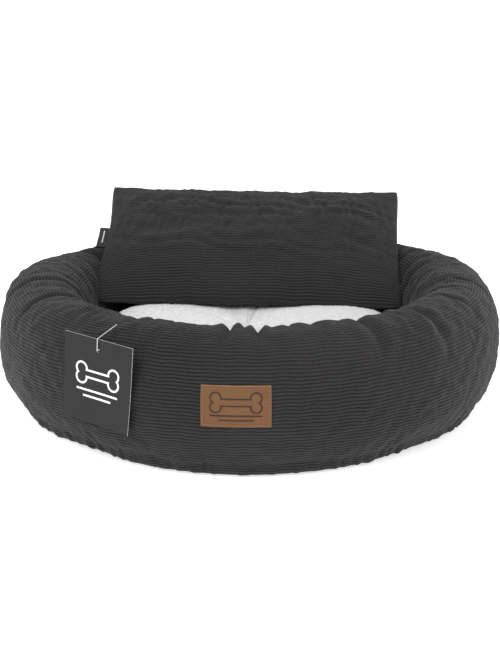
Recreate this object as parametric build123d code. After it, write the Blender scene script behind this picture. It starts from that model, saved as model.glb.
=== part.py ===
"""Round pet bed. A ribbed fabric bolster ring, filled with fibre, is sewn to a padded base cloth. A loose plush
cushion lies in the well, and a loose ribbed pillow stands on it and leans over the back of the ring. A stitched
leather patch is on the front of the ring, and a card tag hangs from a plastic fastener at the front left.

Millimetres. +Z is up, +X is to the right, and +Y is to the back, where the pillow leans. The origin is the
centre of the base, on the floor."""

import math
import os

from build123d import *

os.makedirs("parts", exist_ok=True)

# Bolster ring: its cross-section is an oval that is a little squarer than an ellipse
ring_radius = 300.0
bolster_width = 106.0
bolster_rise = 79.0  # above the widest level
bolster_drop = 75.0  # below the widest level
bolster_squareness = 2.3
bottom_tuck = 11.0  # how far the base seam pulls the outer side in
cover_wall = 2.4
layer_gap = 0.2  # between a cover and what is in it

# Base
base_cloth_wall = 1.6
seam_height = 7.0
wadding_thickness = 7.0
floor_cloth_wall = 1.4
floor_edge_gap = 1.2  # between the floor cloth and the bolster cover

# Loose cushion in the well
cushion_side_gap = 8.0  # round the cushion, to the bolster
cushion_radius = ring_radius - bolster_width - cushion_side_gap
cushion_height = 83.0
cushion_squareness = 3.2
cushion_seat_gap = 0.6  # above the floor cloth
plush_wall = 3.0
cushion_cloth_wall = 1.4
bag_wall = 0.5  # inner bag that holds the fill, in the cushion and in the pillow
tie_radius = 1.2
knot_radius = 5.0
knot_thickness = 1.0

# Zips: each lies along an arc, and the same slider, pull and stops fit both
cushion_zip_span = 110.0  # degrees, round the back of the cushion's edge seam
cushion_zip_middle = 90.0  # degrees from +X
pillow_zip_length = 190.0
pillow_zip_height = 60.0  # above the pillow's bottom seam, on its back
tape_width = 9.0
tape_thickness = 0.5
cushion_zip_stand_off = 0.4  # from the cover to the tapes
pillow_zip_stand_off = 1.2
coil_radius = 0.6
coil_spacing = 1.5
slider_length = 9.0
slider_width = 8.0
plate_thickness = 0.7
slider_clearance = 0.3
lip_width = 1.2
bridge_length = 6.0
bridge_width = 2.4
bridge_leg = 1.0
bridge_slot = 1.3
bridge_bar = 0.7
stop_length = 3.0
pull_length = 18.0
pull_width = 5.0
pull_thickness = 0.8
pull_hole_length = 4.6
pull_rim = 0.9

# Loose pillow
pillow_side_gap = 8.0  # at each end, to the bolster
pillow_width = 2 * (ring_radius - bolster_width - pillow_side_gap)
pillow_height = 190.0
pillow_thickness = 72.0
pillow_edge_thickness = 2.4
pillow_wall = 1.6
pillow_margin = 7.0  # from the outer seam to the fill
pillow_lean = 48.0  # degrees back from upright
pillow_turn = -1.5  # degrees about +Z
pillow_roll = 1.0  # degrees, right end down
pillow_foot_gap_behind = 151.0  # from the bottom seam to the back of the well
pillow_foot_y = ring_radius - bolster_width - pillow_foot_gap_behind
pillow_foot_gap = 3.0  # between the bottom seam and the top of the cushion

# Folded label in the pillow's left seam
label_width = 24.0
label_reach = 12.0
label_cloth = 0.5
label_thickness = 2.6
label_height = 104.0  # of its centre above the pillow's bottom seam

# Leather patch and its stitches
patch_width = 71.5
patch_height = 43.0
patch_thickness = 1.6
patch_gap = 0.15
patch_centre_height = 86.5
patch_angle = 267.3  # degrees from +X
stitch_inset = 2.6
stitch_length = 2.3
stitch_pitch = 3.6
thread_radius = 0.35

# Card tag and its plastic fastener
tag_width = 87.0
tag_height = 94.0
tag_thickness = 0.6
tag_stand_off = 1.0  # from the ring's widest point to the back of the tag
tag_angle = 238.5  # degrees from +X
tag_centre_height = 98.3
tag_roll = 4.3  # degrees, seen from outside, clockwise
tag_hole_radius = 2.2
tag_hole_inset = 12.0
filament_radius = 0.5
fastener_reach = 34.0  # from the ring's widest radius inwards to the anchor
fastener_clearance = 0.5  # between the filament's end and the cover
bar_length = 9.0
bar_radius = 0.75
bar_stand_off = 2.4  # from the tag's middle plane to the bar
loop_stand_off = 1.2  # between the filament and the front of the tag

# Care label in the base seam at the back
care_label_width = 30.0
care_label_reach = 20.0
care_label_thickness = 0.8
care_label_angle = 72.0
care_label_droop = 9.0  # degrees

# Worked out from the sizes above
ring_middle = ring_radius - bolster_width / 2
wadding_bottom = base_cloth_wall + layer_gap
floor_cloth_bottom = wadding_bottom + wadding_thickness + layer_gap
floor_top = floor_cloth_bottom + floor_cloth_wall
cushion_bottom = floor_top + cushion_seat_gap
cushion_middle = cushion_bottom + cushion_height / 2
cushion_top = cushion_bottom + cushion_height


def oval_point(angle, half_width, rise, drop, squareness):
    """A point of a superellipse about (0, 0): the cosine and the sine are each raised to 2 / squareness."""
    c, s = math.cos(angle), math.sin(angle)
    power = 2 / squareness
    height = rise if s >= 0 else drop
    return (
        math.copysign(half_width * abs(c) ** power, c),
        math.copysign(height * abs(s) ** power, s),
    )


def bolster_point(angle, inset):
    """(radius, height) on the bolster's cross-section, inset from its outside. The tuck draws the lower outer
    side towards the seam, with the square of the depth."""
    half_width = bolster_width / 2 - inset
    drop = bolster_drop - inset
    across, up = oval_point(angle, half_width, bolster_rise - inset, drop, bolster_squareness)
    if across > 0 and up < 0:
        across -= bottom_tuck * (up / drop) ** 2 * across / half_width
    return ring_middle + across, bolster_drop + up


def angle_at(height, inset):
    """The angle below the level at which the bolster's section, inset from its outside, is at that height."""
    share = (bolster_drop - height) / (bolster_drop - inset)
    return math.asin(share ** (bolster_squareness / 2))


def bolster_curve(inset, cut_height, steps=28):
    """The bolster's section from the outer cut, over the top, to the inner cut."""
    low = angle_at(cut_height, inset)
    angles = [-low + (math.pi + 2 * low) * i / steps for i in range(steps + 1)]
    return Spline(*[on_section(*bolster_point(a, inset)) for a in angles])


def outer_side_radius(height, stand_off=0.0):
    """The radius of the bolster's outer side at a height, measured out by a stand-off."""
    below = height < bolster_drop
    half = bolster_drop if below else bolster_rise
    share = min(abs(height - bolster_drop) / half, 1.0)
    across = bolster_width / 2 * (1 - share**bolster_squareness) ** (1 / bolster_squareness)
    if below:
        across -= bottom_tuck * share**2 * across / (bolster_width / 2)
    return ring_middle + across + stand_off


def on_section(radius, height):
    """A point of the section plane, which is the half of the XZ plane with +X."""
    return Vector(radius, 0, height)


def section_face(*edges):
    return make_face(Wire(list(edges)))


def polyline_face(*points):
    return make_face(Polyline(*[on_section(*p) for p in points], close=True))


def turned(face, degrees=360.0, start=0.0):
    """The face turned about Z, from a start angle on."""
    return Rot(Z=start) * revolve(face, Axis.Z, degrees)


def radial_place(angle, radius, height):
    """A place on a circle about Z, where local X points outwards, Y goes round anticlockwise and Z is up."""
    return Rot(Z=angle) * Pos(radius, 0, height)


# ---- Ring and base -------------------------------------------------------------------------------------------
def make_bolster_cover():
    """Strip of ribbed cloth bent into a C-shaped section, open at the bottom between its two seams."""
    outer = bolster_curve(0, seam_height)
    inner = bolster_curve(cover_wall, seam_height)
    return turned(
        section_face(outer, Line(outer @ 1, inner @ 1), inner, Line(inner @ 0, outer @ 0))
    )


def make_bolster_fill():
    inset = cover_wall + layer_gap
    curve = bolster_curve(inset, inset + layer_gap)
    return turned(section_face(curve, Line(curve @ 1, curve @ 0)))


def make_base_cloth():
    """Flat cloth under the whole bed, turned up at its edge to meet the bolster cover's outer seam."""
    rim = seam_height - layer_gap / 2

    def rising(inset, steps=6):
        low = angle_at(rim, inset)
        start = math.pi / 2
        angles = [-start + (start - low) * i / steps for i in range(steps + 1)]
        return Spline(*[on_section(*bolster_point(a, inset)) for a in angles])

    under = rising(0)
    upper = rising(base_cloth_wall)
    middle_low = Vector(0, 0, (under @ 0).Z)
    middle_high = Vector(0, 0, (upper @ 0).Z)
    return turned(
        section_face(
            Line(middle_low, under @ 0),
            under,
            Line(under @ 1, upper @ 1),
            upper,
            Line(upper @ 0, middle_high),
            Line(middle_high, middle_low),
        )
    )


def inner_side_radius(height):
    """The radius of the well's wall at a height below the bolster's widest level."""
    share = (bolster_drop - height) / bolster_drop
    across = bolster_width / 2 * (1 - share**bolster_squareness) ** (1 / bolster_squareness)
    return ring_middle - across


def make_base_wadding():
    radius = inner_side_radius(wadding_bottom + wadding_thickness) - floor_edge_gap
    return Pos(Z=wadding_bottom) * Cylinder(
        radius, wadding_thickness, align=(Align.CENTER, Align.CENTER, Align.MIN)
    )


def make_well_floor():
    radius = inner_side_radius(floor_top) - floor_edge_gap
    return Pos(Z=floor_cloth_bottom) * Cylinder(
        radius, floor_cloth_wall, align=(Align.CENTER, Align.CENTER, Align.MIN)
    )


def make_care_label():
    """Folded label whose root is in the base seam and whose end droops towards the floor."""
    root = outer_side_radius(seam_height, layer_gap)
    tab = Box(
        care_label_reach,
        care_label_width,
        care_label_thickness,
        align=(Align.MIN, Align.CENTER, Align.MAX),
    )
    return radial_place(care_label_angle, root, seam_height) * Rot(Y=care_label_droop) * tab


# ---- Leather patch -------------------------------------------------------------------------------------------
def side_strip(low, high, inner_stand_off, outer_stand_off, steps=4):
    """The section of a strip that lies on the bolster's outer side between two heights."""
    heights = [low + (high - low) * i / steps for i in range(steps + 1)]
    near = Spline(*[on_section(outer_side_radius(h, inner_stand_off), h) for h in heights])
    far = Spline(*[on_section(outer_side_radius(h, outer_stand_off), h) for h in heights])
    return section_face(near, Line(near @ 1, far @ 1), far, Line(far @ 0, near @ 0))


def make_leather_patch():
    low = patch_centre_height - patch_height / 2
    sweep = math.degrees(patch_width / ring_radius)
    strip = side_strip(low, low + patch_height, patch_gap, patch_gap + patch_thickness)
    return turned(strip, sweep, patch_angle - sweep / 2)


def make_patch_stitching():
    """A row of stitches inside the patch's edge, each a short bar of thread that lies on the leather."""
    across = patch_width - 2 * stitch_inset
    up = patch_height - 2 * stitch_inset
    surface = patch_gap + patch_thickness + thread_radius + 0.05
    low = patch_centre_height - up / 2
    stitches = []

    def stitch(offset, height, upright):
        place = radial_place(
            patch_angle + math.degrees(offset / ring_radius),
            outer_side_radius(height, surface),
            height,
        )
        slope = outer_side_radius(height + 1) - outer_side_radius(height - 1)
        turn = Rot(Y=math.degrees(math.atan(slope / 2))) if upright else Rot(X=90)
        stitches.append(place * turn * Cylinder(thread_radius, stitch_length))

    columns = int(across / stitch_pitch)
    for i in range(columns):
        offset = -across / 2 + (i + 0.5) * across / columns
        stitch(offset, low, False)
        stitch(offset, low + up, False)
    rows = int(up / stitch_pitch)
    for i in range(rows):
        height = low + (i + 0.5) * up / rows
        stitch(-across / 2, height, True)
        stitch(across / 2, height, True)
    return Compound(stitches)


# ---- Cushion -------------------------------------------------------------------------------------------------
def cushion_curve(inset, upper, steps=14):
    """Half of the cushion's section, from its edge seam to its middle, inset from its outside."""
    radius = cushion_radius - inset
    half_height = cushion_height / 2 - inset
    points = []
    for i in range(steps + 1):
        out, up = oval_point(
            math.pi / 2 * i / steps, radius, half_height, half_height, cushion_squareness
        )
        points.append(on_section(max(out, 0), cushion_middle + (up if upper else -up)))
    points[-1] = on_section(0, points[-1].Z)
    return Spline(*points)


def cushion_shell(outside, wall, upper):
    """Half shell of the cushion, above or below its edge seam, with room for the tie through its middle."""
    outer = cushion_curve(outside, upper)
    inner = cushion_curve(outside + wall, upper)
    return turned(
        section_face(outer, Line(outer @ 1, inner @ 1), inner, Line(inner @ 0, outer @ 0))
    ) - tie_shape(layer_gap)


def tie_shape(room):
    """The tie's thread and its two flat knots, each larger by the room given."""
    thread = Cylinder(tie_radius + room, cushion_height + 4 * layer_gap)
    knot = Cylinder(knot_radius + room, knot_thickness + 2 * room)
    lift = (cushion_height - knot_thickness) / 2
    return Pos(Z=cushion_middle) * (thread + Pos(Z=lift) * knot + Pos(Z=-lift) * knot)


def make_cushion_top_cover():
    return Pos(Z=layer_gap / 2) * cushion_shell(0, plush_wall, True)


def make_cushion_base_cover():
    return Pos(Z=-layer_gap / 2) * cushion_shell(0, cushion_cloth_wall, False)


def make_cushion_inner_bag():
    """Thin closed bag that holds the cushion's fill, so that the cover comes off without it."""
    inset = plush_wall + layer_gap
    return whole_cushion(inset) - whole_cushion(inset + bag_wall) - tie_shape(layer_gap)


def whole_cushion(inset):
    upper = cushion_curve(inset, True)
    lower = cushion_curve(inset, False)
    return turned(section_face(upper, Line(upper @ 1, lower @ 1), lower))


def make_cushion_fill():
    return whole_cushion(plush_wall + bag_wall + 2 * layer_gap) - tie_shape(layer_gap)


def make_cushion_tie():
    """Thread through the middle of the cushion, with a flat stitched knot sunk in each face."""
    return tie_shape(0)


# ---- Zips ----------------------------------------------------------------------------------------------------
# Each zip is made about the Z axis of its own frame, with its middle on +X and its tapes one above the other.
# line is the radius of the tapes' inner side.
coil_lift = tape_thickness + coil_radius
plate_lift = coil_lift + coil_radius + slider_clearance


def arc_band(radius, thickness, low, height, start, sweep):
    """A band of cloth or metal on a cylinder about Z."""
    face = polyline_face(
        (radius, low),
        (radius + thickness, low),
        (radius + thickness, low + height),
        (radius, low + height),
    )
    return turned(face, sweep, start)


def zip_tapes(line, span):
    gap = coil_spacing - coil_radius
    band = (tape_width - gap) / 2
    lows = (-tape_width / 2, gap / 2)
    return Compound([arc_band(line, tape_thickness, z, band, -span / 2, span) for z in lows])


def zip_coils(line, span):
    """Two beads of nylon coil side by side, one on each tape."""
    free = math.degrees(1.5 / line)
    beads = []
    for side in (-1, 1):
        centre = on_section(line + coil_lift, side * coil_spacing / 2)
        bead = make_face(Plane(centre, z_dir=(0, 1, 0)) * Circle(coil_radius))
        beads.append(turned(bead, span - 2 * free, free - span / 2))
    return Compound(beads)


def zip_stops(line, span):
    """A metal stop over the coils at each end."""
    sweep = math.degrees(stop_length / line)
    radius = line + coil_lift + coil_radius + slider_clearance / 2
    height = coil_spacing + 2 * coil_radius
    starts = (-span / 2, span / 2 - sweep)
    return Compound(
        [arc_band(radius, plate_thickness, -height / 2, height, start, sweep) for start in starts]
    )


def slider_angle(line, span):
    """Where the slider's middle is when the zip is closed: against the stop at the low end of the span."""
    return -span / 2 + math.degrees((stop_length + slider_length / 2 + 1.0) / line)


def zip_slider(line, span):
    """Plate over the coils with a lip down each side of them, and a bridge on the plate for the pull."""
    middle = slider_angle(line, span)
    sweep = math.degrees(slider_length / line)
    start = middle - sweep / 2
    low = -slider_width / 2
    body = arc_band(line + plate_lift, plate_thickness, low, slider_width, start, sweep)
    lip_foot = line + tape_thickness + slider_clearance
    lip_height = line + plate_lift + plate_thickness / 2 - lip_foot
    for z in (low, -low - lip_width):
        body += arc_band(lip_foot, lip_height, z, lip_width, start, sweep)
    top = line + plate_lift + plate_thickness
    long = math.degrees(bridge_length / line)
    slot = math.degrees((bridge_length - 2 * bridge_leg) / line)
    bridge = arc_band(
        top - plate_thickness / 2,
        plate_thickness / 2 + bridge_slot + bridge_bar,
        -bridge_width / 2,
        bridge_width,
        middle - long / 2,
        long,
    )
    slot = arc_band(top, bridge_slot, -bridge_width, 2 * bridge_width, middle - slot / 2, slot)
    return body + (bridge - slot)


def zip_pull(line, span):
    """Flat tab that lies along the zip. Its end bar goes under the slider's bridge, whose leg stands in the
    tab's hole, and the tab turns about that bar."""
    tab = Box(
        pull_thickness,
        pull_length,
        pull_width,
        align=(Align.CENTER, Align.MIN, Align.CENTER),
    )
    hole = Pos(Y=pull_rim) * Box(
        pull_thickness * 2,
        pull_hole_length,
        bridge_width + 0.8,
        align=(Align.CENTER, Align.MIN, Align.CENTER),
    )
    end = Pos(Y=pull_length - 3.5) * Rot(Y=90) * Cylinder(1.2, pull_thickness * 2)
    height = line + plate_lift + plate_thickness + bridge_slot / 2
    place = Rot(Z=slider_angle(line, span)) * Pos(height, -pull_rim / 2, 0)
    return place * (tab - hole - end)


cushion_zip_line = cushion_radius + cushion_zip_stand_off
cushion_zip_place = Pos(Z=cushion_middle) * Rot(Z=cushion_zip_middle)


# ---- Pillow --------------------------------------------------------------------------------------------------
pillow_place = (
    Pos(0, pillow_foot_y, cushion_top + pillow_foot_gap)
    * Rot(Z=pillow_turn)
    * Rot(X=-pillow_lean)
    * Rot(Y=pillow_roll)
)


def pillow_bulge(share, margin, wall):
    """How far a pillow face stands out from the seam plane, at a share of the half width. It is full over the
    middle and falls to the thin edge at the ends."""
    edge = pillow_edge_thickness / 2
    crown = pillow_thickness / 2 - wall
    fullness = max(1 - abs(share) ** 2.8, 0) ** 0.62
    return edge + (crown - edge) * fullness


def pillow_loft(margin, wall, sides, steps=5):
    """Loft of a pillow, or of the half to one side of its flat seam plane. Up the height each face is an arc.
    sides holds -1 for the front, 1 for the back, or both."""
    half_width = pillow_width / 2 - margin
    seam = layer_gap / 2 * sides[0] if len(sides) == 1 else 0
    sections = []
    for i in range(-steps, steps + 1):
        share = math.sin(math.pi / 2 * i / steps)
        x = share * half_width
        bulge = pillow_bulge(share, margin, wall)
        foot = Vector(x, seam, margin)
        head = Vector(x, seam, pillow_height - margin)
        edges = [
            ThreePointArc(foot, Vector(x, seam + side * bulge, pillow_height / 2), head)
            for side in sides
        ]
        if len(sides) == 1:
            edges.append(Line(head, foot))
        sections.append(make_face(Wire(edges)))
    return loft(sections)


def pillow_shell(side):
    return pillow_loft(0, 0, (side,)) - pillow_loft(pillow_margin, pillow_wall, (side,))


def make_pillow_front_cover():
    return pillow_place * pillow_shell(-1)


def make_pillow_back_cover():
    return pillow_place * pillow_shell(1)


bag_margin = pillow_margin + layer_gap
bag_depth = pillow_wall + layer_gap


def make_pillow_inner_bag():
    """Thin closed bag that holds the pillow's fill, so that the cover comes off without it."""
    outside = pillow_loft(bag_margin, bag_depth, (-1, 1))
    inside = pillow_loft(bag_margin + 2 * bag_wall, bag_depth + bag_wall, (-1, 1))
    return pillow_place * (outside - inside)


def make_pillow_fill():
    margin = bag_margin + 2 * bag_wall + layer_gap
    return pillow_place * pillow_loft(margin, bag_depth + bag_wall + layer_gap, (-1, 1))


def pillow_back_at(x, height):
    """(distance from the seam plane, slope angle in degrees) of the pillow's back at a point."""
    rise = pillow_bulge(x / (pillow_width / 2), 0, 0)
    half = pillow_height / 2
    radius = (half**2 + rise**2) / (2 * rise)
    up = height - half
    across = math.sqrt(radius**2 - up**2)
    return layer_gap / 2 + across - (radius - rise), math.degrees(math.asin(up / radius))


# The pillow's zip follows the arc that touches its back at the middle and at both of the zip's ends
zip_depth, zip_slope = pillow_back_at(0, pillow_zip_height)
zip_fall = zip_depth - pillow_back_at(pillow_zip_length / 2, pillow_zip_height)[0]
pillow_zip_radius = (pillow_zip_length**2 / 4 + zip_fall**2) / (2 * zip_fall)
pillow_zip_line = pillow_zip_radius + pillow_zip_stand_off
pillow_zip_span = math.degrees(pillow_zip_length / pillow_zip_radius)
pillow_zip_place = (
    pillow_place
    * Pos(0, zip_depth, pillow_zip_height)
    * Rot(X=zip_slope)
    * Pos(0, -pillow_zip_radius, 0)
    * Rot(Z=90)
)


def make_pillow_label():
    """Strip of woven tape folded double, with its ends in the seam and its fold outside."""
    outer = label_thickness / 2
    inner = outer - label_cloth
    straight = label_reach - outer
    with_fold = Rectangle(straight, label_thickness, align=(Align.MAX, Align.CENTER))
    with_fold += Pos(-straight) * Circle(outer)
    hollow = Rectangle(straight + 1, 2 * inner, align=(Align.MAX, Align.CENTER))
    hollow += Pos(-straight) * Circle(inner)
    loop = extrude(with_fold - Pos(0.5) * hollow, label_width / 2, both=True)
    edge = -pillow_width / 2 - layer_gap
    return pillow_place * Pos(edge, 0, label_height) * loop


# ---- Card tag ------------------------------------------------------------------------------------------------
tag_plane = ring_radius + tag_stand_off + tag_thickness / 2
tag_place = radial_place(tag_angle, tag_plane, tag_centre_height) * Rot(X=-tag_roll)
hole_height = tag_height / 2 - tag_hole_inset


def make_hang_tag():
    card = Box(tag_thickness, tag_width, tag_height)
    hole = Pos(Z=hole_height) * Rot(Y=90) * Cylinder(tag_hole_radius, tag_thickness * 3)
    return tag_place * (card - hole)


def make_tag_fastener():
    """One moulded piece: a thin filament from the ring's shoulder, over the top of the tag and through its
    hole, to a crossbar behind the tag."""
    hole = tag_place * Pos(Z=hole_height)
    hole_point = Vector(*hole.position)
    outwards = Vector(1, 0, 0).rotate(Axis.Z, tag_angle)
    anchor_radius = ring_radius - fastener_reach
    anchor_up = anchor_height(anchor_radius) + filament_radius + fastener_clearance
    anchor = Vector(anchor_radius, 0, anchor_up).rotate(Axis.Z, tag_angle)
    front = tag_thickness / 2 + filament_radius + loop_stand_off
    over_edge = Vector(*(tag_place * Pos(front, 0, tag_height / 2 + 1.0)).position)
    turn_in = hole_point + outwards * front
    behind = hole_point - outwards * bar_stand_off
    path = FilletPolyline(anchor, over_edge, turn_in, behind, radius=1.4)
    start = Plane(path @ 0, z_dir=path % 0)
    filament = sweep(start * Circle(filament_radius), path=path)
    bar = hole * Pos(-bar_stand_off) * Rot(X=90) * Cylinder(bar_radius, bar_length)
    return filament + bar


def anchor_height(radius):
    """The height of the bolster's top at a radius."""
    share = min(abs(radius - ring_middle) / (bolster_width / 2), 1.0)
    return bolster_drop + bolster_rise * (1 - share**bolster_squareness) ** (1 / bolster_squareness)


parts = {
    "bolster_cover": make_bolster_cover,
    "bolster_fill": make_bolster_fill,
    "base_cloth": make_base_cloth,
    "base_wadding": make_base_wadding,
    "well_floor": make_well_floor,
    "care_label": make_care_label,
    "leather_patch": make_leather_patch,
    "patch_stitching": make_patch_stitching,
    "cushion_top_cover": make_cushion_top_cover,
    "cushion_base_cover": make_cushion_base_cover,
    "cushion_inner_bag": make_cushion_inner_bag,
    "cushion_fill": make_cushion_fill,
    "cushion_tie": make_cushion_tie,
    "pillow_front_cover": make_pillow_front_cover,
    "pillow_back_cover": make_pillow_back_cover,
    "pillow_inner_bag": make_pillow_inner_bag,
    "pillow_fill": make_pillow_fill,
    "pillow_label": make_pillow_label,
    "hang_tag": make_hang_tag,
    "tag_fastener": make_tag_fastener,
}
zip_pieces = {
    "zip_tapes": zip_tapes,
    "zip_coils": zip_coils,
    "zip_stops": zip_stops,
    "zip_slider": zip_slider,
    "zip_pull": zip_pull,
}
zips = {
    "cushion": (cushion_zip_place, cushion_zip_line, cushion_zip_span),
    "pillow": (pillow_zip_place, pillow_zip_line, pillow_zip_span),
}

for name, make in parts.items():
    export_step(make(), f"parts/{name}.step")
for owner, (place, line, span) in zips.items():
    for name, make in zip_pieces.items():
        export_step(place * make(line, span), f"parts/{owner}_{name}.step")
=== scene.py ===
"""Round pet bed: a ribbed bolster ring on a base cloth, a loose plush cushion, a loose ribbed pillow, a
leather patch and a card tag. Metres. +Z is up, +X to the right, +Y to the back; the origin is the
centre of the base."""

import math

import bmesh
import bpy
import numpy as np
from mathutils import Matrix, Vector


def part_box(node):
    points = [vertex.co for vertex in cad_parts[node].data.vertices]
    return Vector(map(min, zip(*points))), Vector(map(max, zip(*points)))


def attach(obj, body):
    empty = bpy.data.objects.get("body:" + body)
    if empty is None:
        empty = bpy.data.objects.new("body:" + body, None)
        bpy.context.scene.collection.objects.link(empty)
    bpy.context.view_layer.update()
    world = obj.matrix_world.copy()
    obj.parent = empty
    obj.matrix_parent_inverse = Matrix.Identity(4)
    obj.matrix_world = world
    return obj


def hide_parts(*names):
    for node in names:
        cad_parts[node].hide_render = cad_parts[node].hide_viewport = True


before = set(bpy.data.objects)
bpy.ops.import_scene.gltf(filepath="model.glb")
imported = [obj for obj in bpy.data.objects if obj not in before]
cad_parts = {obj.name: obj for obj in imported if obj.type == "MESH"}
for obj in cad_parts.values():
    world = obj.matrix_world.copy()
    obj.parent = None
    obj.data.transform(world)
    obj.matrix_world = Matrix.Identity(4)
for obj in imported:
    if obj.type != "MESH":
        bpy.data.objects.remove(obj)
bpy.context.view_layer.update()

# ---- Bolster ring --------------------------------------------------------------------------------
# One strip of ribbed cloth, sewn into a ring, gathered to the base at its inner and outer seams and
# stuffed with fibre. The ribs run round the ring. The strip is as long as the outside, so it folds over
# the top and inwards.
ring_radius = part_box("bolster_fill")[1][0] + 0.0026
tube_width = 0.106
tube_rise, tube_drop = 0.079, 0.075
tube_squareness = 2.3
bottom_tuck = 0.011
inner_seam, outer_seam = 0.007, 0.0022
tube_middle = ring_radius - tube_width / 2
rib_pitch = 0.0038
rib_depth = 0.0009
strip_radius = 0.292  # of the circle that the strip would make if it lay flat on its edge
seam_circle = 0.27  # about where the outer base seam runs
front_angle = 1.5 * math.pi
patch_angle, tag_angle = math.radians(267.3), math.radians(238.5)  # the cloth is calm behind these two


def tube_section(angle):
    """(radius, height) on the tube's section: an oval whose cosine and sine are raised to 2 /
    squareness. Below the middle the outer side is drawn in with the square of the depth."""
    c, s = np.cos(angle), np.sin(angle)
    power = 2 / tube_squareness
    across = tube_width / 2 * np.sign(c) * np.abs(c) ** power
    up = np.where(s >= 0, tube_rise, tube_drop) * np.sign(s) * np.abs(s) ** power
    pulled = bottom_tuck * (up / tube_drop) ** 2 * across / (tube_width / 2)
    across = across - np.where((across > 0) & (up < 0), pulled, 0)
    return tube_middle + across, tube_drop + up


def along_section(count):
    """Evenly spaced (radius, height, distance) from the outer base seam over the top to the inner seam.
    The last 14 mm above the floor stand out to the seam, which the base cloth holds at 271 mm."""
    low, end = (
        math.asin(((tube_drop - seam) / tube_drop) ** (tube_squareness / 2))
        for seam in (outer_seam, inner_seam)
    )
    radius, height = tube_section(np.linspace(-low, math.pi + end, 4001))
    splay = 0.0112 * np.clip((0.016 - height) / 0.014, 0, 1) ** 1.3
    radius = radius + np.where(radius > tube_middle, splay, 0)
    steps = np.hypot(np.diff(radius), np.diff(height))
    length = np.concatenate([[0], np.cumsum(steps)])
    at = np.linspace(0, length[-1], count)
    return np.interp(at, length, radius), np.interp(at, length, height), at


def resample(points, rows, columns, closed):
    """The same surface on another grid: Catmull-Rom between the four nearest points, first down the
    rows and then along them. rows and columns are the places wanted, as fractions of each side's
    length."""

    def along(values, places, round_):
        count = len(values)
        at = places * (count if round_ else count - 1)
        start = np.floor(at).astype(int)
        if not round_:
            start = np.minimum(start, count - 2)
        t = (at - start).reshape(-1, *[1] * (values.ndim - 1))
        four = [start + k for k in (-1, 0, 1, 2)]
        four = [n % count if round_ else np.clip(n, 0, count - 1) for n in four]
        a, b, c, d = (values[n] for n in four)
        return b + 0.5 * t * (c - a + t * (2 * a - 5 * b + 4 * c - d + t * (3 * (b - c) + d - a)))

    down = along(points, rows, False)
    return along(down.swapaxes(0, 1), columns, closed).swapaxes(0, 1)


def grid_normals(points, closed):
    """Unit normals of a grid: the cross product of the steps along its columns and down its rows."""
    if closed:
        along = np.roll(points, -1, 1) - np.roll(points, 1, 1)
    else:
        along = np.gradient(points, axis=1)
    down = np.gradient(points, axis=0)
    normal = np.cross(along, down)
    return normal / np.maximum(np.linalg.norm(normal, axis=-1, keepdims=True), 1e-12)


def grid_faces(rows, columns, closed=False, closed_down=False):
    """Corner numbers of the quads of a grid of points, and the (row, column) place of each quad's
    corners."""
    i = np.arange(rows if closed_down else rows - 1)[:, None]
    j = np.arange(columns if closed else columns - 1)[None, :]
    corners = [(i, j), (i, j + 1), (i + 1, j + 1), (i + 1, j)]
    quads = [((a % rows) * columns + b % columns) + 0 * i + 0 * j for a, b in corners]
    places = [np.stack(np.broadcast_arrays(a + 0 * j, b + 0 * i), -1) for a, b in corners]
    return np.stack(quads, -1).reshape(-1, 4), np.stack(places, 2).reshape(-1, 4, 2)


def mesh_piece(name, points, faces, finish, uv=None, sharp=None):
    """A mesh object of quads (or triangles) at the origin, smooth, with an optional UV place for every
    corner."""
    mesh = bpy.data.meshes.new(name)
    points = np.asarray(points, np.float32).reshape(-1, 3)
    faces = np.asarray(faces, np.int32)
    sides = faces.shape[1]
    mesh.vertices.add(len(points))
    mesh.vertices.foreach_set("co", points.ravel())
    mesh.loops.add(faces.size)
    mesh.loops.foreach_set("vertex_index", faces.ravel())
    mesh.polygons.add(len(faces))
    mesh.polygons.foreach_set("loop_start", np.arange(len(faces), dtype=np.int32) * sides)
    mesh.update(calc_edges=True)
    mesh.polygons.foreach_set("use_smooth", np.ones(len(faces), bool))
    if uv is not None:
        layer = mesh.uv_layers.new(name="cloth")
        layer.uv.foreach_set("vector", np.asarray(uv, np.float32).ravel())
    mesh.validate()
    if sharp is not None:
        mesh.set_sharp_from_angle(angle=math.radians(sharp))
    piece = bpy.data.objects.new(name, mesh)
    bpy.context.scene.collection.objects.link(piece)
    if finish is not None:
        mesh.materials.append(finish)
    return piece


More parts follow.
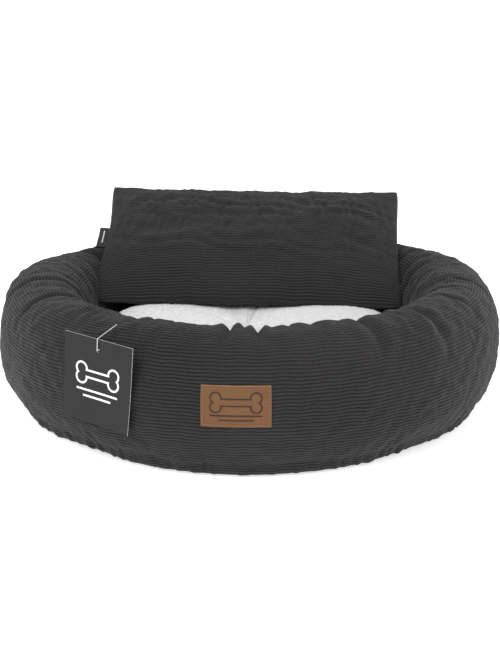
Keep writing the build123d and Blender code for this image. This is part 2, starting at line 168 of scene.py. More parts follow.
def stuffed(points, faces, flat, hold, pressure, frames):
    """Blender's cloth: the cover, cut as flat, is blown up from points by the filling's pressure. hold
    is how firmly each point keeps its place: 1 at a seam, and little elsewhere, for the fibre behind
    the cloth."""
    shape = points.shape
    piece = mesh_piece("cover_at_work", points, faces, None)
    piece.shape_key_add(name="Basis")
    cut = piece.shape_key_add(name="cut")
    cut.data.foreach_set("co", np.asarray(flat, np.float32).ravel())
    cut.value = 0
    group = piece.vertex_groups.new(name="hold")
    hold = np.round(np.asarray(hold).ravel(), 3)
    for weight in np.unique(hold):
        group.add(np.flatnonzero(hold == weight).tolist(), float(weight), "REPLACE")
    cloth = piece.modifiers.new("cloth", "CLOTH")
    cloth.point_cache.frame_start = 1
    cloth.point_cache.frame_end = frames
    cloth.collision_settings.use_collision = False
    cloth.collision_settings.use_self_collision = False
    s = cloth.settings
    s.quality = 6
    s.mass = 0.3
    s.tension_stiffness = s.compression_stiffness = 20
    s.shear_stiffness = 6
    s.bending_stiffness = 0.2
    s.tension_damping = s.compression_damping = s.shear_damping = 5
    s.vertex_group_mass = "hold"
    s.pin_stiffness = 1
    s.rest_shape_key = cut
    s.use_pressure = True
    s.uniform_pressure_force = pressure
    s.effector_weights.gravity = 0
    for number in range(1, frames + 1):
        bpy.context.scene.frame_set(number)
    settled = piece.evaluated_get(bpy.context.evaluated_depsgraph_get()).to_mesh()
    result = np.empty(len(settled.vertices) * 3, np.float32)
    settled.vertices.foreach_get("co", result)
    bpy.context.scene.frame_set(1)
    bpy.data.objects.remove(piece)
    return result.reshape(shape).astype(float)


def unevenness(seed, across, along, count, wavelengths, closed_length=None):
    """Soft lumps of stuffing, from -1 to 1: a sum of sine waves in random directions, whose wavelengths
    lie in the range given. With a closed length, every wave fits a whole number of times round it."""
    chance = np.random.default_rng(seed)
    total = 0
    for _ in range(count):
        wave = 2 * math.pi / chance.uniform(*wavelengths)
        heading = chance.uniform(0, math.pi)
        round_, up = wave * math.cos(heading), wave * math.sin(heading)
        if closed_length:
            round_ = 2 * math.pi * round(round_ * closed_length / 2 / math.pi) / closed_length
        total = total + np.sin(round_ * along + up * across + chance.uniform(0, 2 * math.pi))
    return total / math.sqrt(count)


def turned_by(angle, centre):
    """The angle from a centre, between -pi and pi."""
    return (angle - centre + math.pi) % (2 * math.pi) - math.pi


def ring_folds(angle, share):
    """Depth of the gathers, from the cut edge seams: each is a sharp crease between two round rolls.
    share is 0 at the outer base seam and 1 at the inner one. Long gathers come over the top, and the
    base has short ones."""
    chance = np.random.default_rng(11)
    depth = np.zeros(np.broadcast(angle, share).shape)
    count = 50
    places = (np.arange(count) + chance.uniform(-0.3, 0.3, count)) / count * 2 * math.pi
    rolls = [(p, chance.uniform(0.4, 1.0), chance.uniform(0.36, 0.52)) for p in places]
    rolls = [r for r in rolls if not -0.13 < turned_by(r[0], front_angle) < 0.09]
    notches = [(front_angle - 0.088, 1.9, 0.34), (front_angle + 0.038, 2.1, 0.34)]
    notches += [(front_angle - 0.020, 0.8, 0.40)]
    rolls += notches
    far = [(299, 1.5, 0.30), (316, 1.6, 0.27), (352, 1.5, 0.30), (206, 1.3, 0.30), (188, 1.5, 0.27)]
    far += [(28, 1.4, 0.3), (70, 1.5, 0.28), (112, 1.3, 0.3), (150, 1.5, 0.28)]
    far += [(333, 1.2, 0.33), (225, 1.0, 0.36)]
    rolls += [(math.radians(place), strength, reach) for place, strength, reach in far]
    for place, strength, reach in rolls:
        lean = chance.uniform(-0.05, 0.05)
        width = 0.015 if (place, strength, reach) in notches else chance.uniform(0.011, 0.023)
        off = turned_by(angle, place + lean * (share - 0.6))
        grow = np.clip((share - reach) / 0.22, 0, 1)
        grow = grow * grow * (3 - 2 * grow)
        crease = np.exp(-(np.hypot(off, 0.005) - 0.005) / width)
        crease = crease - 0.35 * np.exp(-((np.abs(off) - 2.4 * width) ** 2) / (1.3 * width) ** 2)
        depth += 0.0040 * strength * grow * crease
    count = 108
    places = (np.arange(count) + chance.uniform(-0.35, 0.35, count)) / count * 2 * math.pi
    for place in places:
        strength = chance.uniform(0.2, 1.0)
        reach = chance.uniform(0.06, 0.17)
        off = turned_by(angle, place)
        grow = np.clip(1 - share / reach, 0, 1)
        pleat = np.exp(-np.abs(off) / 0.012) - 0.25 * np.exp(-np.abs(off) / 0.04)
        depth += 0.0050 * strength * grow * pleat
    return depth


def near(angle, degrees, width):
    """1 at a place round the ring, falling off as a bell of this width in radians."""
    return np.exp(-((turned_by(angle, math.radians(degrees)) / width) ** 2))


def seam_shift(angle):
    """How far the base seam is outside its circle: the ring stands wider at the front than at its two
    sides."""
    drawn_in = 0.0095 * near(angle, 229, 0.19) + 0.0075 * near(angle, 311, 0.21)
    return 0.0030 * near(angle, 268, 0.22) - drawn_in


ring_rows, ring_columns = 66, 600
section_radius, section_height, section_length = along_section(ring_rows)
strip_width = section_length[-1]
share = (section_length / strip_width)[:, None]
angle = (0.5 * math.pi + np.arange(ring_columns) / ring_columns * 2 * math.pi)[None, :]
slope_radius, slope_height = np.gradient(section_radius), np.gradient(section_height)
slope = np.hypot(slope_radius, slope_height)
out_radius, out_height = (slope_height / slope)[:, None], (-slope_radius / slope)[:, None]
calm = 1 - np.exp(-((turned_by(angle, patch_angle) / 0.17) ** 4))
calm = calm * (1 - np.exp(-((turned_by(angle, tag_angle) / 0.17) ** 4)))
calm = np.maximum(calm, np.clip((share - 0.36) / 0.1, 0, 1))
along_ring = (angle - angle[0, 0]) * 0.25
lumps = unevenness(5, section_length[:, None], along_ring, 26, (0.05, 0.16), 0.5 * math.pi)
edge_hold = np.clip(np.minimum(share, 1 - share) / 0.05, 0, 1)
gathers = ring_folds(angle, share) * np.clip((1 - share) / 0.04, 0, 1)
rise = (0.0011 * lumps * calm * edge_hold - gathers) - rib_depth
rise = np.where(share < 0.04, rise * (0.85 + 0.15 * share / 0.04), rise)
shoulder = np.exp(-(((share - 0.38) / 0.11) ** 2))
rise = rise + shoulder * (0.0070 * near(angle, 172, 0.30) + 0.0060 * near(angle, 14, 0.28))
rise = rise + 0.0025 * np.exp(-(((share - 0.14) / 0.08) ** 2)) * near(angle, 193, 0.25)
rise = rise - (0.0025 * near(angle, 43, 0.14) + 0.0035 * near(angle, 148, 0.15)) * edge_hold
around = np.stack([np.cos(angle), np.sin(angle)], -1)
low_part = np.clip(1 - share / 0.16, 0, 1) ** 1.5
radius = section_radius[:, None] + out_radius * rise + seam_shift(angle) * low_part
ring_start = np.concatenate(
    [radius[..., None] * around, (section_height[:, None] + out_height * rise)[..., None]], -1
)
level = np.broadcast_to(section_length[:, None, None], (ring_rows, ring_columns, 1))
strip_circle = np.broadcast_to(strip_radius * around, (ring_rows, ring_columns, 2))
strip_flat = np.concatenate([strip_circle, level], -1)
ring_hold = np.full((ring_rows, ring_columns), 0.006)
ring_hold[[0, -1]] = 1
ring_faces, _ = grid_faces(ring_rows, ring_columns, True)
ring_coarse = stuffed(ring_start, ring_faces, strip_flat, ring_hold, 3.0, 9)

rows_per_rib = 4
fine_length = np.append(np.arange(0, strip_width - 0.0004, rib_pitch / rows_per_rib), strip_width)
fine_columns = 900
ring_points = resample(
    ring_coarse, fine_length / strip_width, np.arange(fine_columns) / fine_columns, True
)


def rib_profile(length):
    """Height of the ribs, from 0 in the groove to 1 on the crown: an arch that is steep beside the
    groove."""
    phase = np.abs(np.mod(length / rib_pitch, 1) - 0.5) * 2
    return np.sqrt(np.maximum(1 - phase**2.4, 0))


fine_angle = np.arange(fine_columns)[None, :] / fine_columns * 2 * math.pi
along_cloth = fine_angle * strip_radius
normals = grid_normals(ring_points, True)
ring_down = np.gradient(ring_points, axis=0)
ring_down /= np.linalg.norm(ring_down, axis=-1, keepdims=True)
inner_part = np.clip(np.minimum(fine_length, strip_width - fine_length) / 0.02, 0, 1)[:, None]
cloth_length = 2 * math.pi * strip_radius
wander = unevenness(61, fine_length[:, None], along_cloth, 34, (0.022, 0.075), cloth_length)
pucker = unevenness(62, fine_length[:, None], along_cloth, 46, (0.011, 0.034), cloth_length)
nap = unevenness(63, fine_length[:, None] * 0.6, along_cloth, 30, (0.0052, 0.012), cloth_length)
ribs = rib_depth * rib_profile(fine_length)[:, None] * (1 + 0.22 * nap)
ring_points += normals * (ribs + 0.00055 * pucker * inner_part)[..., None]
ring_points += ring_down * (0.00062 * wander * inner_part)[..., None]
hem = np.clip(1 - fine_length[:, None] / 0.018, 0, 1)
hem_wave = unevenness(67, 0 * fine_length[:, None], along_cloth, 26, (0.012, 0.030), cloth_length)
ring_points[..., :2] *= 1 + (0.0013 / seam_circle) * (hem * hem_wave)[..., None]


class Reading:
    """A number that varies over a surface: a socket of a material, with arithmetic that adds Math
    nodes."""

    def __init__(self, finish, socket):
        self.finish, self.socket = finish, socket

    def reckon(self, operation, *values):
        inputs = dict(enumerate(values))
        node = self.finish.node("ShaderNodeMath", {"operation": operation}, inputs)
        return Reading(self.finish, node.outputs[0])

    def __add__(self, other):
        return self.reckon("ADD", self, other)

    def __sub__(self, other):
        return self.reckon("SUBTRACT", self, other)

    def __rsub__(self, other):
        return self.reckon("SUBTRACT", other, self)

    def __mul__(self, other):
        return self.reckon("MULTIPLY", self, other)

    def __abs__(self):
        return self.reckon("ABSOLUTE", self)

    __radd__, __rmul__ = __add__, __mul__

    def wave(self):
        return self.reckon("SINE", self)

    def fraction(self):
        return self.reckon("FRACT", self)

    def between(self, low, high):
        """0 below low, 1 above high, smooth between."""
        node = self.finish.node(
            "ShaderNodeMapRange",
            {"interpolation_type": "SMOOTHSTEP"},
            {"Value": self, "From Min": low, "From Max": high},
        )
        return Reading(self.finish, node.outputs[0])


class Finish:
    """A material in the making, with one Principled surface. Fixed numbers are set on the surface's own
    sockets."""

    def __init__(self, name, **surface):
        self.material = bpy.data.materials.new(name)
        self.material.use_nodes = True
        self.tree = self.material.node_tree
        self.surface = self.tree.nodes["Principled BSDF"]
        for socket, value in surface.items():
            self.feed(self.surface.inputs[socket.replace("_", " ")], value)

    def node(self, kind, settings=None, inputs=None):
        node = self.tree.nodes.new(kind)
        for key, value in (settings or {}).items():
            setattr(node, key, value)
        for key, value in (inputs or {}).items():
            self.feed(node.inputs[key], value)
        return node

    def feed(self, socket, value):
        if isinstance(value, Reading):
            value = value.socket
        if isinstance(value, bpy.types.NodeSocket):
            self.tree.links.new(value, socket)
        else:
            socket.default_value = value

    def place(self, kind="UV"):
        """The place on the surface: its UV map in metres, or its Object coordinates."""
        return self.node("ShaderNodeTexCoord").outputs[kind]

    def parts(self, vector):
        split = self.node("ShaderNodeSeparateXYZ", {}, {0: vector})
        return [Reading(self, out) for out in split.outputs]

    def noise(self, vector, scale, detail=2.0, roughness=0.5):
        inputs = {"Vector": vector, "Scale": scale, "Detail": detail, "Roughness": roughness}
        return Reading(self, self.node("ShaderNodeTexNoise", {}, inputs).outputs[0])

    def stretched(self, vector, factors):
        return self.node("ShaderNodeMapping", {}, {"Vector": vector, "Scale": factors}).outputs[0]

    def mixed(self, share, first, second):
        node = self.node("ShaderNodeMix", {"data_type": "RGBA"}, {0: share, 6: first, 7: second})
        return node.outputs[2]

    def colour(self, value):
        self.feed(self.surface.inputs["Base Color"], value)

    def roughness(self, value):
        self.feed(self.surface.inputs["Roughness"], value)

    def raised(self, height, strength=1.0):
        """Bump from a height in metres."""
        bump = self.node("ShaderNodeBump", {}, {"Height": height, "Distance": 1.0, "Strength": strength})
        self.feed(self.surface.inputs["Normal"], bump.outputs[0])


def shaded(tint, factor):
    """The tint made darker, or lighter with a factor above 1."""
    return [c * factor for c in tint[:3]] + [1]


def ribbed_cloth(name, crown, groove):
    """Corduroy-like pile: wide ribs with painted shade in the groove between them, a darker colour laid
    where the rib mask falls. Every rib is nicked across about every 3 mm, more deeply in some patches of
    the cloth, and the pile is fuzzy."""
    cloth = Finish(name, Sheen_Weight=0.16, Sheen_Roughness=0.4, Specular_IOR_Level=0.2)
    place = cloth.place()
    along, across, _ = cloth.parts(place)
    fuzz = cloth.noise(place, 1500, 3, 0.7)
    drift = cloth.noise(place, 9, 2)
    on_top = across.between(0.09, 0.16) * (1 - across.between(0.26, 0.33))
    patchy = cloth.noise(place, 22, 2).between(0.46, 0.66) * on_top
    wear = cloth.noise(place, 300, 3, 0.65)
    rib = abs((across * (math.pi / rib_pitch)).wave())
    shift = cloth.noise(place, 160, 1) * 0.9
    nick = abs((along * (math.pi / 0.0031) + shift).wave()).between(0.0, 0.5)
    nicked = 1 - (1 - nick) * (0.12 + patchy * 0.88)
    # light mixes the painted groove shade, from the rib mask, with the nicks and the wear noise
    light = rib.between(0.05, 0.75) * (0.45 + nicked * 0.4 + (wear - 0.5) * 1.3)
    tone = cloth.mixed(light, groove, crown)
    worn = cloth.mixed((drift - 0.35) * 0.9, tone, shaded(crown, 1.28))
    cloth.colour(cloth.mixed((fuzz - 0.42) * 0.6, worn, shaded(crown, 1.9)))
    cloth.roughness(0.82 + fuzz * 0.15)
    cloth.raised(rib * 0.0003 + nicked * 0.00042 + fuzz * 0.00025)
    return cloth.material


# The second colour is painted shade for the grooves, far darker than the crown.
ring_cloth = ribbed_cloth("ribbed_cloth", [0.0272, 0.0251, 0.0262, 1], [0.0030, 0.0028, 0.0031, 1])
faces, places = grid_faces(len(fine_length), fine_columns, True)
uv = np.stack(
    [places[..., 1] / fine_columns * 2 * math.pi * strip_radius, fine_length[places[..., 0]]], -1
)
bolster = mesh_piece("bolster", ring_points, faces, ring_cloth, uv)
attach(bolster, "bed")
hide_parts("bolster_cover")


def woolly(name, tint, tuft):
    """Loose fibre or felted cloth: soft clumps about as wide as tuft, and fine fuzz."""
    wool = Finish(name, Sheen_Weight=0.3, Sheen_Roughness=0.6, Roughness=0.95)
    place = wool.place("Object")
    clump = wool.noise(place, 1 / tuft, 3, 0.6)
    fuzz = wool.noise(place, 2600, 2, 0.7)
    wool.colour(wool.mixed(clump.between(0.3, 0.7), shaded(tint, 0.82), tint))
    wool.raised(clump * tuft * 0.35 + fuzz * 0.0002)
    return wool.material


# The fibre in the ring fills the cover, a little inside it, and closes across the open strip under the
# ring.
tube_centre = np.concatenate(
    [tube_middle * around, np.full((1, ring_columns, 1), tube_drop)], -1
)
fibre = woolly("fibre_fill", [0.82, 0.82, 0.80, 1], 0.012)
faces, _ = grid_faces(ring_rows, ring_columns, True, True)
ring_fibre = mesh_piece(
    "bolster_fibre", tube_centre + 0.92 * (ring_coarse - tube_centre), faces, fibre
)
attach(ring_fibre, "bed")
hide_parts("bolster_fill")

# ---- Base ----------------------------------------------------------------------------------------
# A round of plain cloth under the whole bed, turned up to the ring's outer seam, with small rubbery dots
# printed on it against sliding. Wadding lies on it, under the dark cloth that is the floor of the well.


def turned_shape(profile, columns, wobble=0):
    """A profile of (radius, height) turned once round the Z axis, as a grid with one row for each
    point."""
    angle = np.arange(columns) / columns * 2 * math.pi
    radius, height = (np.array(profile)[:, k, None] for k in (0, 1))
    height = height + wobble + 0 * angle
    return np.stack([radius * np.cos(angle), radius * np.sin(angle), height], -1)


def closed_up(piece):
    """Joins the points that lie on one another, such as those of a pole."""
    work = bmesh.new()
    work.from_mesh(piece.data)
    bmesh.ops.remove_doubles(work, verts=work.verts, dist=1e-6)
    work.to_mesh(piece.data)
    work.free()
    return piece


def plain_weave(name, tint, thread, **surface):
    """Cloth woven one over one: two sets of threads that rise in turn, read from the Object
    coordinates."""
    cloth = Finish(name, **surface)
    place = cloth.place("Object")
    x, y, z = cloth.parts(place)
    warp = abs((x * (math.pi / thread)).wave())
    weft = abs(((y + z) * (math.pi / thread)).wave())
    fuzz = cloth.noise(place, 1800, 3, 0.7)
    drift = cloth.noise(place, 14, 2)
    light = (warp * weft) * 0.7 + fuzz * 0.5
    low = shaded(tint, 0.55)
    tone = cloth.mixed(light, low, tint)
    cloth.colour(cloth.mixed(drift.between(0.3, 0.8) * 0.35, tone, shaded(tint, 1.35)))
    cloth.roughness(0.78 + fuzz * 0.2)
    cloth.raised(warp * weft * thread * 0.25 + fuzz * 0.00008)
    return cloth.material


dark_weave = plain_weave("dark_base_cloth", [0.045, 0.044, 0.047, 1], 0.0011, Sheen_Weight=0.15)
base_profile = [(0, 0.0006), (0.12, 0.0006), (0.255, 0.0006), (0.264, 0.0008), (0.2690, 0.0016)]
base_profile += [(0.2696, 0.0026), (0.2685, 0.0034), (0.262, 0.0027), (0.250, 0.0021)]
base_profile += [(0.12, 0.0021), (0, 0.0021)]
faces, _ = grid_faces(len(base_profile), 240, True)
base_points = turned_shape(base_profile, 240)
base_angle = np.arange(240) / 240 * 2 * math.pi
base_reach = np.hypot(base_points[..., 0], base_points[..., 1])[..., None]
at_seam = np.clip((base_reach - 0.2) / 0.07, 0, 1)
base_points[..., :2] *= 1 + (seam_shift(base_angle)[:, None] * at_seam) / seam_circle
base = closed_up(mesh_piece("base_cover", base_points, faces, dark_weave, sharp=60))
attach(base, "bed")
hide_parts("base_cloth")

dot_pitch, dot_radius = 0.017, 0.0026
row, column = np.meshgrid(np.arange(-16, 17), np.arange(-16, 17))
dot_x, dot_y = (column + row * 0.5) * dot_pitch, row * dot_pitch * 0.866
on_cloth = np.hypot(dot_x, dot_y) < 0.244
dot_places = np.stack([dot_x[on_cloth], dot_y[on_cloth]], -1)
dome = [(0.0001, 0.0), (0.0016, 0.00012), (0.0024, 0.0004), (0.0026, 0.0008)]
dot = turned_shape(dome, 10)
dots = np.repeat(dot[None], len(dot_places), 0)
dots[..., :2] += dot_places[:, None, None, :]
faces, _ = grid_faces(4, 10, True)
faces = (faces[None] + np.arange(len(dot_places))[:, None, None] * 40).reshape(-1, 4)
rubber = Finish("grip_dots", Roughness=0.5)
speck = rubber.noise(rubber.place("Object"), 900, 3, 0.6)
rubber.colour(rubber.mixed(speck, [0.012, 0.012, 0.013, 1], [0.035, 0.035, 0.037, 1]))
rubber.roughness(0.42 + speck * 0.3)
rubber.raised(speck * 0.0001)
grip = mesh_piece("grip_dots", dots, faces, rubber.material)
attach(grip, "bed")

wadding_profile = [(0, 0.0026), (0.205, 0.0026), (0.2135, 0.004)]
wadding_profile += [(0.2135, 0.0066), (0.205, 0.0084), (0, 0.0084)]
faces, _ = grid_faces(6, 160, True)
wadding = closed_up(mesh_piece("base_felt", turned_shape(wadding_profile, 160), faces, fibre, sharp=70))
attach(wadding, "bed")
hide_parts("base_wadding")

floor_rows = np.append(np.linspace(0, 0.205, 44), [0.2105, 0.2145, 0.2175])
floor_angle = np.arange(240)[None, :] / 240 * 2 * math.pi
puff = unevenness(21, floor_rows[:, None], floor_angle, 12, (0.03, 0.09), 2 * math.pi)
puff = 0.0006 * puff * np.clip(floor_rows / 0.02, 0, 1)[:, None]
top = 0.0105 - 0.0022 * np.clip((floor_rows - 0.198) / 0.02, 0, 1) ** 2
upper = turned_shape(np.stack([floor_rows, top], -1), 240, puff)
under = turned_shape([(0.2170, 0.0070), (0.20, 0.0088), (0, 0.0088)], 240)
well = np.concatenate([upper, under])
faces, _ = grid_faces(len(well), 240, True)
well_floor = closed_up(mesh_piece("well_cloth", well, faces[:, ::-1], dark_weave, sharp=60))
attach(well_floor, "bed")
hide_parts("well_floor")

# ---- Care label ----------------------------------------------------------------------------------
# White woven tape folded double and caught in the base seam at the back. It droops to the floor. It is
# blank apart from plain woven lines.
care_angle, care_width, care_reach = math.radians(72), 0.030, 0.022
run = np.linspace(0, 1, 16)
out = 0.268 + np.concatenate([run, run[::-1]]) * care_reach
drop = np.concatenate([0.0079 - 0.0058 * run**0.8, 0.0071 - 0.0058 * run[::-1] ** 0.8])
side = np.linspace(-0.5, 0.5, 14)[None, :] * care_width
wave = 0.0007 * np.sin(side / care_width * 7) * np.concatenate([run, run[::-1]])[:, None]
label_grid = np.stack(
    [
        out[:, None] * math.cos(care_angle) - side * math.sin(care_angle),
        out[:, None] * math.sin(care_angle) + side * math.cos(care_angle),
        drop[:, None] + wave,
    ],
    -1,
)
white_tape = Finish("care_tape", Sheen_Weight=0.2)
along, across, _ = white_tape.parts(white_tape.place())
ridge = abs((across * (math.pi / 0.0006)).wave())
line = (across * 250).fraction().between(0.80, 0.84) * along.between(0.003, 0.0035)
line = line * (1 - along.between(0.026, 0.0265))
threads = white_tape.mixed(ridge, [0.5, 0.5, 0.48, 1], [0.78, 0.78, 0.75, 1])
white_tape.colour(white_tape.mixed(line * 0.8, threads, [0.08, 0.08, 0.09, 1]))
white_tape.roughness(0.45 + ridge * 0.2)
white_tape.raised(ridge * 0.0001)
faces, places = grid_faces(32, 14)
uv = np.stack([places[..., 1] / 13 * care_width, places[..., 0] / 31 * 2 * care_reach], -1)
care = mesh_piece("care_tape", label_grid, faces[:, ::-1], white_tape.material, uv[:, ::-1])
care.modifiers.new("wall", "SOLIDIFY").thickness = 0.00025
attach(care, "bed")
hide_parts("care_label")

# ---- Leather patch -------------------------------------------------------------------------------
# Tan leather, cut square, edges bevelled and rubbed pale, sewn on with a tone-in-tone thread. A plain
# bone and two thin lines are pressed into it.
patch_low, patch_high = 0.065, 0.108
patch_width, patch_wall = 0.0715, 0.0016


def outer_radius(height):
    """The radius of the tube's outer side at a height, from the oval's formula."""
    below = height < tube_drop
    half = np.where(below, tube_drop, tube_rise)
    share = np.clip(np.abs(height - tube_drop) / half, 0, 1)
    across = tube_width / 2 * (1 - share**tube_squareness) ** (1 / tube_squareness)
    pulled = bottom_tuck * share**2 * across / (tube_width / 2)
    return tube_middle + across - np.where(below, pulled, 0)


bevel_places = np.array([0, 0.00004, 0.0002, 0.0005, 0.0009, 0.0014])


def from_edges(width, count):
    """Places across a width that start close together at both edges, for a bevel."""
    return np.concatenate(
        [bevel_places, np.linspace(0.0018, width - 0.0018, count), width - bevel_places[::-1]]
    )


def bone_edge(x, z, half_length, half_height, knob, spread):
    """How far a point is outside a bone's outline, less than 0 inside: the bone is a bar with two round
    knobs at each end, and the nearest of them counts."""
    x, z = np.abs(x), np.abs(z)
    bar = np.maximum(x - half_length, z - half_height)
    return np.minimum(bar, np.hypot(x - half_length, z - spread) - knob)


patch_along = from_edges(patch_width, 230)
patch_up = from_edges(patch_high - patch_low, 150)
x, z = np.meshgrid(patch_along - patch_width / 2, patch_up - (patch_high - patch_low) / 2)
edge = np.minimum(
    np.minimum(patch_along, patch_along[::-1])[None, :], np.minimum(patch_up, patch_up[::-1])[:, None]
)
dome = np.interp(edge, [0, 0.00003, *bevel_places[2:]], [-1.2, 0.5, 0.72, 0.88, 0.97, 1])
line_half, line_slope = 0.0009, 0.0003
bone = np.abs(bone_edge(x, z - 0.0045, 0.0205, 0.0036, 0.0056, 0.0048)) - line_half
pressed = np.clip(0.5 - bone / line_slope, 0, 1)
for low, reach in ((-0.0092, 0.0265), (-0.0140, 0.0180)):
    bar = np.maximum(np.abs(z - low) - line_half, np.abs(x) - reach)
    pressed = np.maximum(pressed, np.clip(0.5 - bar / line_slope, 0, 1))
height = z + (patch_low + patch_high) / 2
out = outer_radius(height) + 0.00015 + patch_wall * dome - 0.00042 * pressed
turn = patch_angle + x / ring_radius
patch_grid = np.stack([out * np.cos(turn), out * np.sin(turn), height], -1)


def leather(name, tint, deep):
    """Split leather with a coat: small pebbles with creases between them, and slow changes of tone."""
    hide = Finish(name, Specular_IOR_Level=0.4)
    place = hide.place()
    cells = hide.node(
        "ShaderNodeTexVoronoi", {"feature": "DISTANCE_TO_EDGE"}, {"Vector": place, "Scale": 1300}
    )
    pebble = Reading(hide, cells.outputs[0]).between(0.0, 0.25)
    fine = hide.noise(place, 2500, 3, 0.6)
    tone = hide.noise(place, 60, 3, 0.6)
    colour = hide.mixed(pebble * 0.6 + tone * 0.5, deep, tint)
    hide.colour(colour)
    hide.roughness(0.50 + fine * 0.22)
    hide.raised(pebble * 0.00006 + fine * 0.00004)
    return hide.material


tan = leather("tan_leather", [0.172, 0.073, 0.021, 1], [0.100, 0.041, 0.011, 1])
burnt = leather("pressed_leather", [0.042, 0.016, 0.006, 1], [0.024, 0.009, 0.003, 1])
pale = leather("rubbed_edge", [0.30, 0.165, 0.085, 1], [0.20, 0.10, 0.045, 1])
faces, places = grid_faces(*x.shape)
uv = np.stack([x.ravel()[faces], z.ravel()[faces]], -1)
patch = mesh_piece("patch", patch_grid, faces, tan, uv)
patch.data.materials.append(burnt)
patch.data.materials.append(pale)
at_edge = edge.ravel()[faces].mean(1) < 0.00045
kind = np.where(pressed.ravel()[faces].mean(1) > 0.5, 1, np.where(at_edge, 2, 0))
patch.data.polygons.foreach_set("material_index", kind.astype(np.int32))
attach(patch, "bed")
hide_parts("leather_patch")


def spun_thread(name, tint):
    """Twisted sewing thread: slanting strands with a soft shine."""
    yarn = Finish(name, Sheen_Weight=0.2)
    x, y, z = yarn.parts(yarn.place("Object"))
    strand = abs(((x + y + z) * 5200).wave())
    yarn.colour(yarn.mixed(strand, shaded(tint, 0.5), tint))
    yarn.roughness(0.5 + strand * 0.2)
    yarn.raised(strand * 0.00005)
    return yarn.material


def refinish(node, material):
    """A frame piece keeps its shape and takes this material."""
    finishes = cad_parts[node].data.materials
    finishes.clear()
    finishes.append(material)


refinish("patch_stitching", spun_thread("tan_thread", [0.30, 0.13, 0.055, 1]))

# ---- Cushion -------------------------------------------------------------------------------------
# Two rounds of cloth sewn edge to edge and stuffed: short white plush above and plain cloth below. A
# thread through the middle pulls both faces in, so the plush rises to a lobe on each side and creases
# towards the middle.
cushion_wall = 0.0037  # bag and cover, round the fibre
cushion_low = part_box("cushion_fill")[0][2] - cushion_wall
cushion_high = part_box("cushion_fill")[1][2] + cushion_wall
cushion_level = (cushion_low + cushion_high) / 2
cushion_radius = 0.1895
tie_x = -0.006  # the thread is a little left of the middle
cushion_rows, cushion_columns = 44, 288
share = np.linspace(0, 1, cushion_rows)[:, None]
angle = np.arange(cushion_columns)[None, :] / cushion_columns * 2 * math.pi
lift = share * math.pi / 2
across = np.sin(lift) ** (2 / 4.2) * np.where(share > 0, 1, 0)
across = across * 0.5 + share * 0.5
crown = np.maximum(1 - across**4.6, 0) ** (1 / 4.2)
chance = np.random.default_rng(31)
folds = 0
for _ in range(34):
    off = turned_by(angle, chance.uniform(0, 2 * math.pi))
    width, strength, far = chance.uniform(0.03, 0.07), chance.uniform(0.3, 1), chance.uniform(0.25, 0.75)
    fading = np.exp(-((across / far) ** 2)) * (across / 0.08).clip(0, 1)
    folds = folds + strength * np.exp(-np.abs(off) / width) * fading
edge_folds = 0
for _ in range(64):
    off = turned_by(angle, chance.uniform(0, 2 * math.pi))
    near_edge = np.clip((across - 0.80) / 0.2, 0, 1)
    edge_folds = edge_folds + chance.uniform(0.2, 1) * np.exp(-np.abs(off) / 0.016) * near_edge
lobes = 0.0060 * np.cos(2 * angle - 0.1) * np.sin(math.pi * np.clip(across, 0, 1) ** 1.5)
lobes = lobes + 0.0025 - 0.0150 * np.exp(-((across / 0.17) ** 1.3))
valley = 0.0050 * np.exp(-((turned_by(angle, -0.5 * math.pi) / 0.34) ** 2)) * np.sin(math.pi * across**0.8)
half = (cushion_high - cushion_low) / 2
edge = 0.0016 * unevenness(8, share, angle, 9, (0.7, 2.2), 2 * math.pi)
at_zip = np.clip((np.sin(angle) - 0.25) / 0.3, 0, 1)
edge_pull = 0.0022 * edge_folds * np.clip((across - 0.9) / 0.1, 0, 1) * (1 - at_zip)
radius = across * (cushion_radius - 0.0045 * at_zip - edge_pull)
shift = 1 - across**0.7
top_height = cushion_level + (half + lobes - valley + edge * across) * crown
top_height = top_height - 0.0024 * folds - 0.0016 * edge_folds * crown**0.5
low_height = cushion_level - half * crown + 0.004 * np.exp(-((across / 0.1) ** 2)) + 0 * angle
level = [radius * np.cos(angle) + tie_x * shift, radius * np.sin(angle) + 0 * shift]
top_grid = np.stack([*level, np.where(share < 1, top_height, cushion_level)], -1)
low_grid = np.stack([*level, low_height], -1)
cushion_start = np.concatenate([top_grid, low_grid[-2::-1]])
cut_radius = np.concatenate([share, share[-2::-1]]) * 0.222
cushion_flat = [cut_radius * np.cos(angle), cut_radius * np.sin(angle), 0 * cut_radius * angle]
cushion_flat = np.stack(cushion_flat, -1)
cushion_hold = np.full(cushion_start.shape[:2], 0.008)
cushion_hold[[0, -1]] = 1
cushion_hold[cushion_rows - 1] = 0.3
faces, _ = grid_faces(2 * cushion_rows - 1, cushion_columns, True)
cushion_coarse = stuffed(cushion_start, faces[:, ::-1], cushion_flat, cushion_hold, 2.0, 8)

plush_rows, plush_columns = ((150, 640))
down, round_ = np.linspace(0, 1, plush_rows), np.arange(plush_columns) / plush_columns
plush_points = resample(cushion_coarse[:cushion_rows], down, round_, True)
chance = np.random.default_rng(41)
pile = chance.normal(0, 1, (plush_rows, plush_columns))
pile = (pile + np.roll(pile, 1, 1) + np.roll(pile, -1, 1) + np.roll(pile, 1, 0) + np.roll(pile, -1, 0)) / 5
coverage = np.clip(down * 14, 0, 1)[:, None] * np.clip((1 - down) * 20, 0, 1)[:, None]
plush_points += grid_normals(plush_points, True) * (-0.0007 * pile * coverage)[..., None]
plush = Finish(
    "white_plush", Sheen_Weight=0.5, Sheen_Roughness=0.5, Roughness=0.95, Specular_IOR_Level=0.15
)
place = plush.place("Object")
clump = plush.noise(place, 170, 4, 0.65)
hair = plush.noise(plush.stretched(place, (1.0, 1.6, 0.7)), 1400, 3, 0.75)
shade = plush.noise(place, 16, 2)
